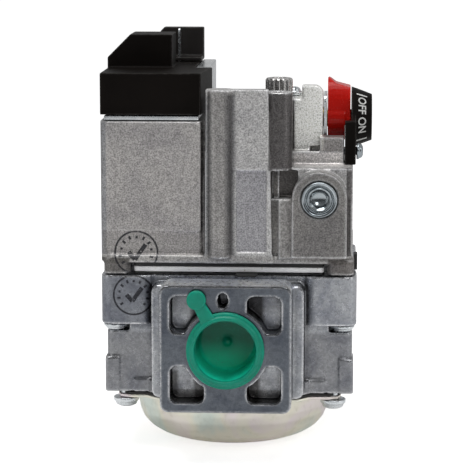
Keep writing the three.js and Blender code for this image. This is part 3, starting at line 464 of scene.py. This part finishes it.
def make_materials():
    MATERIALS.update({
        "casting_upper": casting("casting_upper", (0.33, 0.325, 0.32), (0.76, 0.75, 0.74), 0.50, 0.80, 0.15,
                                 UPPER_TONE_AND_PAINTED_LIGHT, UPPER_SMOOTH, (0.82, 0.82, 0.84)),
        "casting_lower": casting("casting_lower", (0.33, 0.34, 0.355), (0.50, 0.515, 0.535), 0.30, 0.94, 0.30,
                                 LOWER_TONE_AND_PAINTED_LIGHT, LOWER_SMOOTH, (0.62, 0.63, 0.68), streak=0.05),
        "zinc_plate": sheet_metal("zinc_plate", (0.60, 0.63, 0.65), (0.78, 0.80, 0.82), 0.24, spots=0.18),
        "zinc_screw": sheet_metal("zinc_screw", (0.26, 0.29, 0.31), (0.42, 0.46, 0.48), 0.15, spots=0.30),
        "plate_edge": sheet_metal("plate_edge", (0.88, 0.88, 0.88), (0.97, 0.97, 0.97), 0.50, spots=0.45,
                                  metal=0.08),
        "chromate": chromated("chromate"),
        "steel": sheet_metal("steel", (0.42, 0.42, 0.43), (0.58, 0.58, 0.58), 0.30, brushed=(0.3, 0.3, 4)),
        "brass": sheet_metal("brass", (0.58, 0.43, 0.17), (0.76, 0.60, 0.28), 0.27, brushed=(3, 0.4, 3)),
        "dark_metal": sheet_metal("dark_metal", (0.46, 0.45, 0.44), (0.64, 0.63, 0.62), 0.26),
        "black_plastic": plastic("black_plastic", (0.0038, 0.0029, 0.0024), (0.006, 0.0047, 0.0040), 0.48,
                                 dust=(0.011, 0.0095, 0.0085), edge=(0.060, 0.056, 0.053),
                                 Specular_IOR_Level=0.05),
        "block_plastic": plastic("block_plastic", (0.012, 0.0105, 0.0098), (0.018, 0.016, 0.015), 0.42,
                                 dust=(0.03, 0.028, 0.026), edge=(0.09, 0.085, 0.08),
                                 Specular_IOR_Level=0.15),
        "rubber": plastic("rubber", (0.010, 0.010, 0.010), (0.022, 0.021, 0.020), 0.62, depth=0.04,
                          dust=(0.07, 0.068, 0.065)),
        "nylon": plastic("nylon", (0.70, 0.66, 0.55), (0.80, 0.77, 0.67), 0.42, Subsurface_Weight=0.1),
        "red_plastic": plastic("red_plastic", (0.40, 0.005, 0.002), (0.48, 0.008, 0.004), 0.24, grain_mm=0.8,
                               depth=0.01, dust=(0.42, 0.012, 0.008), edge=(0.66, 0.05, 0.035),
                               Specular_IOR_Level=0.20),
        "green_plastic": green_cup("green_plastic"),
        "copper": windings("copper_winding"),
        "white_ink": plastic("white_ink", (0.42, 0.42, 0.41), (0.58, 0.58, 0.56), 0.45, depth=0.01),
    })


def finish_of(node):
    slot = SLOT_OF[node]
    return MATERIALS[OWN_FINISH.get(node, "casting_lower" if slot == "casting" else slot)]


# ---------------------------------------------------------------- CAD nodes that stay
def smoothing_group(name, angle):
    """Geometry nodes that drop imported normals and shade smooth where faces meet below an angle."""
    tree = bpy.data.node_groups.new(name, "GeometryNodeTree")
    tree.interface.new_socket("Geometry", in_out="INPUT", socket_type="NodeSocketGeometry")
    tree.interface.new_socket("Geometry", in_out="OUTPUT", socket_type="NodeSocketGeometry")
    add = tree.nodes.new
    start, end = add("NodeGroupInput"), add("NodeGroupOutput")
    drop, faces, edges = (add("GeometryNodeRemoveAttribute"), add("GeometryNodeSetShadeSmooth"),
                          add("GeometryNodeSetShadeSmooth"))
    drop.inputs["Name"].default_value = "custom_normal"
    edges.domain = "EDGE"
    bend, less = add("GeometryNodeInputMeshEdgeAngle"), add("FunctionNodeCompare")
    less.operation = "LESS_EQUAL"
    less.inputs["B"].default_value = angle
    for out, into in ((start.outputs[0], drop.inputs[0]), (drop.outputs[0], faces.inputs[0]),
                      (faces.outputs[0], edges.inputs[0]), (edges.outputs[0], end.inputs[0]),
                      (bend.outputs["Unsigned Angle"], less.inputs["A"]),
                      (less.outputs[0], edges.inputs["Shade Smooth"])):
        tree.links.new(out, into)
    return tree


def refine(obj, group, voxel_mm, rounds):
    """Softens the edges of a CAD node with modifiers; its own mesh stays as it was packed."""
    add = obj.modifiers.new
    add("clean", "NODES").node_group = group
    add("weld", "WELD").merge_threshold = 0.002 * MM
    if voxel_mm:
        remesh = add("remesh", "REMESH")
        remesh.mode = "VOXEL"
        remesh.voxel_size = voxel_mm * MM
        soften = add("soften", "SMOOTH")
        soften.iterations = rounds
        thin = add("thin", "DECIMATE")
        thin.ratio = KEPT_FACES
    add("smooth", "NODES").node_group = group
    weighted = add("weighted", "WEIGHTED_NORMAL")
    weighted.keep_sharp = True
    weighted.weight = 70


# Nodes whose edges are softened by a voxel remesh: voxel size, and smoothing rounds where not two.
VOXEL_MM = {"lower_casting": 0.42, "upper_casting": 0.42, "gas_lever": 0.28, "dial_bezel": 0.3,
            "terminal_cover": 0.35, "terminal_block": 0.3, "coil_frame": 0.35, "divider_plate": 0.4,
            "side_clip": 0.2, "pilot_fitting": 0.25, "cock_retainer": 0.2}
ROUNDS = {"lower_casting": 7, "upper_casting": 4}
KEPT_FACES = 0.14


def dress_cad_nodes():
    group = smoothing_group("smooth_by_angle", math.radians(38))
    for name, obj in nodes.items():
        obj.data.materials.clear()
        obj.data.materials.append(finish_of(name))
        refine(obj, group, VOXEL_MM.get(name, 0.0), ROUNDS.get(name, 2))


# ---------------------------------------------------------------- finer pieces
AXES = {"x": ((0, 1, 0), (0, 0, 1), (1, 0, 0)), "y": ((1, 0, 0), (0, 0, 1), (0, 1, 0)),
        "z": ((1, 0, 0), (0, 1, 0), (0, 0, 1))}


def soften(points, radius, steps=3):
    """Rounds the inner corners of an open line of (radius, height) points."""
    out = [Vector(points[0])]
    for before, at, after in zip(points, points[1:], points[2:]):
        at = Vector(at)
        back, on = Vector(before) - at, Vector(after) - at
        reach = min(radius, back.length * 0.45, on.length * 0.45)
        start, end = at + back.normalized() * reach, at + on.normalized() * reach
        for i in range(steps + 1):
            t = i / steps
            out.append(start.lerp(at, t).lerp(at.lerp(end, t), t))
    return out + [Vector(points[-1])]


def revolve(profile, centre, axis, sides=64, radius_at=None, looped=False, flip=1):
    """A body of revolution from (radius, height) points in millimetres; flip turns its height round."""
    bm = bmesh.new()
    u, v, w = (Vector(a) for a in AXES[axis])
    rings = []
    for r, h in profile:
        if r < 1e-6:
            rings.append([bm.verts.new((Vector(centre) + w * h * flip) * MM)])
            continue
        ring = []
        for i in range(sides):
            angle = TAU * i / sides
            reach = radius_at(r, h, angle) if radius_at else r
            spoke = u * math.cos(angle) + v * math.sin(angle)
            ring.append(bm.verts.new((Vector(centre) + spoke * reach + w * h * flip) * MM))
        rings.append(ring)
    pairs = list(zip(rings, rings[1:])) + ([(rings[-1], rings[0])] if looped else [])
    for low, high in pairs:
        for i in range(sides):
            j = (i + 1) % sides
            corners = [low[i % len(low)], low[j % len(low)], high[j % len(high)], high[i % len(high)]]
            bm.faces.new(list(dict.fromkeys(corners)))
    return bm


def extruded(outline, plane, low, high, rounding=0.0):
    """A prism from a closed outline in one plane, with its edges rounded."""
    bm = bmesh.new()
    u, v, w = (Vector(a) for a in AXES[plane])
    faces = bm.faces.new([bm.verts.new((u * a + v * b + w * low) * MM) for a, b in outline])
    grown = bmesh.ops.extrude_face_region(bm, geom=[faces])
    moved = [e for e in grown["geom"] if isinstance(e, bmesh.types.BMVert)]
    bmesh.ops.translate(bm, verts=moved, vec=w * (high - low) * MM)
    bmesh.ops.recalc_face_normals(bm, faces=bm.faces)
    if rounding:
        rims = [e for e in bm.edges if e.calc_face_angle(0) > math.radians(35)]
        bmesh.ops.bevel(bm, geom=rims, offset=rounding * MM, segments=3, profile=0.5, affect="EDGES",
                        clamp_overlap=True)
    return bm


def as_object(name, bm):
    bmesh.ops.recalc_face_normals(bm, faces=bm.faces)
    mesh = bpy.data.meshes.new(name)
    bm.to_mesh(mesh)
    bm.free()
    obj = bpy.data.objects.new(name, mesh)
    bpy.context.scene.collection.objects.link(obj)
    return obj


def combine(obj, operation, *others):
    """Joins other meshes to a piece or cuts them from it, and removes them."""
    for other in others:
        tool = as_object("tool", other)
        step = obj.modifiers.new("step", "BOOLEAN")
        step.operation = operation
        step.solver = "EXACT"
        step.object = tool
        made = bpy.data.meshes.new_from_object(obj.evaluated_get(bpy.context.evaluated_depsgraph_get()))
        obj.modifiers.clear()
        obj.data = made
        bpy.data.objects.remove(tool)
    return obj


def settle(obj, node, material=None, angle=34, hide=True):
    """Gives a piece its finish and rides it on the body of the node it stands for or sits on."""
    obj.data.shade_smooth()
    obj.data.set_sharp_from_angle(angle=math.radians(angle))
    obj.data.materials.clear()
    obj.data.materials.append(material or finish_of(node))
    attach(obj, BODY_OF[node])
    if hide:
        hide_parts(node)
    return obj


def middle(node):
    low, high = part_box(node)
    return (low + high) / 2 / MM


def hexagon_points(radius, centre=(0, 0), turn=0.0):
    angles = [TAU * i / 6 + turn for i in range(6)]
    return [(centre[0] + radius * math.cos(t), centre[1] + radius * math.sin(t)) for t in angles]


RECESS_DEPTH = 0.62


def screw(node, axis, seat, direction, head, shank, recess="cross"):
    """A domed screw: head is (radius, height, rim), shank is (radius, length), both in millimetres."""
    at = middle(node)
    at["xyz".index(axis)] = seat
    head_r, head_h, rim = head
    shank_r, shank_l = shank
    profile = soften([(0, head_h), (head_r * 0.5, head_h * 0.97), (head_r * 0.78, head_h * 0.80),
                      (head_r * 0.90, rim * 1.25), (head_r, rim), (head_r, 0.0), (shank_r, 0.0),
                      (shank_r, -shank_l + 0.6), (shank_r - 0.6, -shank_l), (0, -shank_l)], 0.35)
    obj = as_object(node + "_fine", revolve(profile, at, axis, 48, flip=direction))
    u, v, w = (Vector(a) for a in AXES[axis])
    turn = rng.uniform(0, TAU)
    mouth, bottom = head_h + 0.4, head_h * (1 - RECESS_DEPTH)
    arms = {"cross": (0.0, 0.25), "slot": (0.0,), "hex": ()}[recess]
    for arm in arms:
        along = u * math.cos(turn + arm * TAU) + v * math.sin(turn + arm * TAU)
        across = w.cross(along)
        cutter = bmesh.new()
        bmesh.ops.create_cube(cutter, size=1)
        half_l = head_r * (0.55 if recess == "cross" else 1.1)
        half_w = head_r * 0.11
        for vert in cutter.verts:
            a, b, c = (2 * k for k in vert.co)
            narrow = 1.0 if c > 0 else 0.72
            lift = mouth if c > 0 else bottom
            flat = (along * a * half_l + across * b * half_w) * narrow
            vert.co = (at + flat + w * lift * direction) * MM
        combine(obj, "DIFFERENCE", cutter)
    if recess == "hex":
        hexagon = extruded(hexagon_points(1.05), axis, 0, 1)
        for vert in hexagon.verts:
            up = vert.co.dot(w) / MM
            flat = vert.co - w * vert.co.dot(w)
            lift = mouth if up > 0.5 else bottom
            vert.co = flat * (head_r * 0.42) + (at + w * lift * direction) * MM
        combine(obj, "DIFFERENCE", hexagon)
    return settle(obj, node)


def tap_plug(node, face, sign):
    """A pressure tap plug: turned rings on its face, a countersunk hexagon socket and a drilled bottom."""
    at = middle(node)
    at.y = face
    profile = soften([(0, 0.55), (4.3, 0.55), (4.8, 0.62), (5.0, -0.5), (5.6, -0.6), (5.85, 0.75), (6.7, 1.0),
                      (7.1, 0.6), (7.1, -0.9), (6.15, -0.9), (6.15, -12.2), (5.3, -13), (0, -13)], 0.22)
    obj = as_object(node + "_fine", revolve(profile, at, "y", 72, flip=sign))
    ends = sorted((face + sign * 2, face - sign * 4.6))
    combine(obj, "DIFFERENCE", extruded(hexagon_points(3.75, (at.x, at.z), 0.3), "y", *ends))
    drill = [(0, 1.5), (4.35, 1.5), (4.25, 0.6), (3.3, -0.3), (0, -0.3)]
    combine(obj, "DIFFERENCE", revolve(drill, at, "y", 48, flip=sign))
    tip = [(0, -4.0), (3.1, -4.0), (3.1, -4.7), (0, -6.4)]
    combine(obj, "DIFFERENCE", revolve(tip, at, "y", 48, flip=sign))
    return settle(obj, node, angle=28)


FLUTES, FLUTE_DEPTH = 14, 0.85


def fluted_cap():
    low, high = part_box("regulator_cap")
    at = middle("regulator_cap")
    at.z = low.z / MM
    top = (high.z - low.z) / MM
    skirt = top - 7.7
    outer = (high.x - low.x) / MM / 2

    def fluted(r, h, angle):
        if h < skirt or r < outer - 0.3:
            return r
        wave = 0.5 + 0.5 * math.cos(FLUTES * angle + 0.4)
        return r - FLUTE_DEPTH * wave ** 2

    profile = [(0, 0), (4.5, 0), (4.5, skirt), (outer - 0.25, skirt), (outer, skirt + 0.35),
               (outer, top - 0.8), (outer - 0.55, top - 0.15), (outer - 1.3, top), (3.1, top),
               (2.9, top - 0.7), (0, top - 0.7)]
    profile = soften(profile, 0.12)
    obj = as_object("regulator_cap_fine", revolve(profile, at, "z", 216, radius_at=fluted))
    slot = bmesh.new()
    bmesh.ops.create_cube(slot, size=1)
    for vert in slot.verts:
        vert.co = (at + Vector((vert.co.x * 5.6, vert.co.y * 1.1, top - 1.4 + vert.co.z * 2.6))) * MM
    combine(obj, "DIFFERENCE", slot)
    return settle(obj, "regulator_cap", angle=40)


def green_cap():
    """The protective plug: a tapered cup with a double rim, and a round grip tab on an arm."""
    centre = (0, 0, PORT_Z)
    profile = [(0, -47.7), (0.8, -47.6), (1.35, -47.1), (1.9, -46.65), (3.2, -46.5), (10.4, -46.5),
               (11.5, -47.4), (11.75, -49), (12.0, -65.7), (12.25, -66.4), (12.8, -66.6), (13.4, -66.5),
               (13.8, -66.1), (14.1, -65.8), (14.9, -65.7), (15.3, -65.2), (15.3, -64.2), (15.0, -63.8),
               (12.95, -63.75), (12.75, -62.6), (12.5, -46.6), (11.7, -45.3), (0, -45.2)]
    cap = as_object("inlet_cap_fine", revolve(soften(profile, 0.25, 2), centre, "y", 112))
    knob = Vector((-11.2, 20.1))
    out = knob.normalized()
    side = Vector((-out.y, out.x))
    outline = [out * 13.4 + side * 3.4, out * 15.6 + side * 2.7]
    for degrees in range(-48, 229, 12):
        t = math.radians(degrees)
        outline.append(knob + (side * math.cos(t) + out * math.sin(t)) * 3.55)
    outline += [out * 15.6 - side * 2.7, out * 13.4 - side * 3.4]
    grip = extruded([(p.x, p.y + PORT_Z) for p in outline], "y", -66.1, -64.0, rounding=0.5)
    combine(cap, "UNION", grip)
    at = Vector((knob.x, 0, knob.y + PORT_Z))
    button = [(0, -66.5), (3.2, -66.5), (3.65, -66.3), (3.8, -65.8), (3.8, -64.6), (0, -64.6)]
    combine(cap, "UNION", revolve(soften(button, 0.2), at, "y", 48))
    return settle(cap, "inlet_cap", angle=50)


def pressed_dish():
    """The pressed dish: a smooth bowl with a rolled shoulder, and its flange with stepped-out middles."""
    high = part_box("dish_cover")[1]
    top, seat = high.z / MM, high.z / MM - 1.2
    outer = [(0, 0.0), (20.4, 0.0), (24, 0.35), (28.5, 1.3), (32.4, 2.8), (35.6, 4.9), (38.0, 7.7),
             (39.4, 11.0), (40.0, 14.6), (40.0, seat - 1.2), (40.9, seat)]
    inner = [(42.0, seat), (42.0, top), (39.2, top), (38.8, seat - 0.6), (38.8, 14.7), (38.1, 11.3),
             (36.9, 8.4), (34.8, 5.9), (31.9, 4.0), (28.2, 2.5), (24, 1.6), (20.4, 1.2), (0, 1.2)]
    dish = as_object("dish_cover_fine", revolve(soften(outer + inner, 0.6, 2), (0, 0, 0), "z", 144))
    half_x, half_y = high.x / MM, 38.0
    corner = 5.0
    side = [(-half_x, -half_y + corner), (-half_x + 1.2, -half_y + 1.6), (-half_x + corner, -half_y),
            (-34, -half_y), (-32.2, -half_y - 0.8), (-28.9, -42.3), (-27, -43)]
    half = side + [(-a, b) for a, b in reversed(side)]
    outline = half + [(a, -b) for a, b in reversed(half)]
    flange = as_object("flange", extruded(outline, "z", seat, top, rounding=0.3))
    hole = revolve([(0, seat - 3), (40.4, seat - 3), (40.4, top + 3), (0, top + 3)], (0, 0, 0), "z", 144)
    combine(flange, "DIFFERENCE", hole)
    joined = bmesh.new()
    joined.from_mesh(flange.data)
    bpy.data.objects.remove(flange)
    combine(dish, "UNION", joined)
    return settle(dish, "dish_cover", angle=40)


THREAD_PITCH = 1.8


def thread(name, node, ends, root, crest):
    """A screw thread cut in a port, as a thin ridged sleeve on its wall."""
    low, high = ends

    def ridged(r, h, angle):
        if r > root:
            return r
        phase = (h / THREAD_PITCH - angle / TAU) % 1
        ridge = max(0.0, 1 - abs(phase - 0.5) * 2.6)
        fade = min(1, (h - low) / THREAD_PITCH, (high - h) / THREAD_PITCH)
        return root - (root - crest) * ridge * max(fade, 0)

    steps = int((high - low) / 0.2)
    inner = [(root - 0.001, low + (high - low) * i / steps) for i in range(steps + 1)]
    obj = as_object(name, revolve(inner + [(root + 0.06, high), (root + 0.06, low)], (0, 0, PORT_Z), "y", 96,
                                  radius_at=ridged, looped=True))
    return settle(obj, node, hide=False, angle=60)


def woven_screen():
    """The inlet strainer: a pressed rim and two sets of wires that pass over and under each other."""
    low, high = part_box("inlet_screen")
    y = (low.y + high.y) / 2 / MM
    rim_r = (high.x - low.x) / MM / 2
    section = soften([(rim_r - 1.5, -0.35), (rim_r, -0.35), (rim_r, 0.35), (rim_r - 1.5, 0.35)], 0.15)
    rim = revolve(section, (0, y, PORT_Z), "y", 72, looped=True)
    pitch, wire = 1.0, 0.15
    reach = rim_r - 0.9
    for turned in (False, True):
        for k in range(-12, 13):
            half = math.sqrt(max(reach ** 2 - (k * pitch) ** 2, 0))
            if half < 1:
                continue
            count = max(6, int(half * 8))
            previous = None
            for i in range(count + 1):
                a = -half + 2 * half * i / count
                lift = 0.16 * math.cos(math.pi * (a / pitch + k + (1 if turned else 0)))
                ring = []
                for dx, dy in ((wire, 0), (0, wire), (-wire, 0), (0, -wire)):
                    across, along = k * pitch + dx, a
                    point = (across, y + lift + dy, along) if turned else (along, y + lift + dy, across)
                    ring.append(rim.verts.new(Vector((point[0], point[1], point[2] + PORT_Z)) * MM))
                if previous:
                    for j in range(4):
                        rim.faces.new((previous[j], previous[(j + 1) % 4], ring[(j + 1) % 4], ring[j]))
                else:
                    rim.faces.new(ring)
                previous = ring
            rim.faces.new(previous)
    return settle(as_object("inlet_screen_fine", rim), "inlet_screen")


# Words and marks on the bezel, with their places round it in degrees.
LEGEND = [("OFF", 31.0), ("ON", -13.0)]
MARKS = (58, -50, 90, 122)
LETTER_MM, WRAP_R = 4.4, 11.0


def dial_legend():
    """White ON and OFF wrapped round the bezel's cone, and short marks beside them."""
    x_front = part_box("dial_bezel")[1].x / MM
    x_back, r_back, r_front = 48.6, 12.6, 9.5
    whole = bmesh.new()

    def wrap(bm):
        for vert in bm.verts:
            u, v, lift = vert.co
            x = (x_back + x_front) / 2 + v
            radius = r_back + (r_front - r_back) * (x - x_back) / (x_front - x_back) + lift
            angle = -u / WRAP_R
            vert.co = Vector((x, -radius * math.cos(angle), COCK_Z + radius * math.sin(angle))) * MM

    def take(bm):
        piece = bpy.data.meshes.new("part")
        bm.to_mesh(piece)
        bm.free()
        whole.from_mesh(piece)

    for word, degrees in LEGEND:
        curve = bpy.data.curves.new("word", "FONT")
        curve.body = word
        curve.size = LETTER_MM
        curve.align_x, curve.align_y = "CENTER", "CENTER"
        curve.offset = 0.06
        curve.extrude = 0.06
        holder = bpy.data.objects.new("word", curve)
        bpy.context.scene.collection.objects.link(holder)
        mesh = bpy.data.meshes.new_from_object(holder.evaluated_get(bpy.context.evaluated_depsgraph_get()))
        bpy.data.objects.remove(holder)
        bm = bmesh.new()
        bm.from_mesh(mesh)
        bmesh.ops.remove_doubles(bm, verts=bm.verts, dist=1e-4)
        for k in range(-16, 17):
            bmesh.ops.bisect_plane(bm, geom=bm.verts[:] + bm.edges[:] + bm.faces[:],
                                   plane_co=(k * 0.45, 0, 0), plane_no=(1, 0, 0))
        bmesh.ops.translate(bm, verts=bm.verts, vec=(-math.radians(degrees) * WRAP_R, 0, 0.02))
        wrap(bm)
        take(bm)
    for degrees in MARKS:
        mark = bmesh.new()
        bmesh.ops.create_cube(mark, size=1)
        for vert in mark.verts:
            a, b, c = vert.co
            vert.co = Vector((a * 0.7 - math.radians(degrees) * WRAP_R, b * 4.2, c * 0.12 + 0.02))
        wrap(mark)
        take(mark)
    obj = as_object("bezel_legend", whole)
    return settle(obj, "dial_bezel", material=MATERIALS["white_ink"], hide=False)


def casting_web():
    """The casting's wall between the ribbed panel and the tap boss, which makes the slot there shallow."""
    for name, bottom, top, face in (("casting_web_low", 81.2, 104.1, -40.1),
                                    ("casting_web_high", 104.0, 115.6, -36.6)):
        outline = [(15.2, bottom), (20.1, bottom), (20.1, top), (15.2, top)]
        obj = as_object(name, extruded(outline, "y", face, -22.0, rounding=0.2))
        settle(obj, "upper_casting", hide=False)


def spring(node, radius, wire, turns):
    """A helical spring, wound evenly over the height of its node's box."""
    low, high = (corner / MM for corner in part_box(node))
    centre, height = middle(node), high.z - low.z
    per_turn, sides = 32, 12
    steps = turns * per_turn
    up = Vector((0, 0, 1))
    bm = bmesh.new()
    rings = []
    for i in range(steps + 1):
        angle = TAU * i / per_turn
        out = Vector((math.cos(angle), math.sin(angle), 0))
        at = Vector((centre.x, centre.y, low.z + wire + (height - 2 * wire) * i / steps)) + out * radius
        ring = []
        for j in range(sides):
            around = TAU * j / sides
            ring.append(bm.verts.new((at + (out * math.cos(around) + up * math.sin(around)) * wire) * MM))
        rings.append(ring)
    for one, two in zip(rings, rings[1:]):
        for j in range(sides):
            k = (j + 1) % sides
            bm.faces.new([one[j], one[k], two[k], two[j]])
    bm.faces.new(rings[0])
    bm.faces.new(rings[-1])
    obj = settle(as_object(node + "_coil", bm), node)
    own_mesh(obj)


def finer_pieces():
    casting_web()
    spring("main_valve_spring", 6.6, 0.7, 5)
    for side in ("front", "rear"):
        spring("plunger_spring_" + side, 2.2, 0.35, 4)
    ear_seat, dish_seat = 53.0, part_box("dish_cover")[1].z / MM - 1.5
    for corner in CORNERS:
        screw("body_screw_" + corner, "z", ear_seat, -1, (4.8, 2.7, 1.0), (2.2, 26))
        screw("dish_screw_" + corner, "z", dish_seat, -1, (5.2, 4.0, 1.5), (2.0, 14))
    cover_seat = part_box("terminal_cover")[0].z / MM + 13.8
    for i in (1, 2):
        screw(f"cover_screw_{i}", "z", cover_seat, 1, (2.6, 1.8, 0.7), (1.5, 17))
    bezel_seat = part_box("bezel_screw")[0].x / MM + 14
    screw("bezel_screw", "x", bezel_seat, 1, (3.4, 2.7, 0.9), (1.6, 14), recess="hex")
    screw("vent_plug", "z", 142.3, 1, (3.2, 3.4, 1.4), (2.0, 1.6), recess="slot")
    tap_plug("inlet_tap_plug", -46.0, -1)
    tap_plug("outlet_tap_plug", 44.0, 1)
    fluted_cap()
    green_cap()
    pressed_dish()
    thread("outlet_thread", "lower_casting", (46.5, 63.2), 13.24, 12.35)
    thread("inlet_thread", "lower_casting", (-63.2, -46.5), 13.24, 13.02)
    woven_screen()
    dial_legend()


place_camera()
make_materials()
studio()
dress_cad_nodes()
finer_pieces()
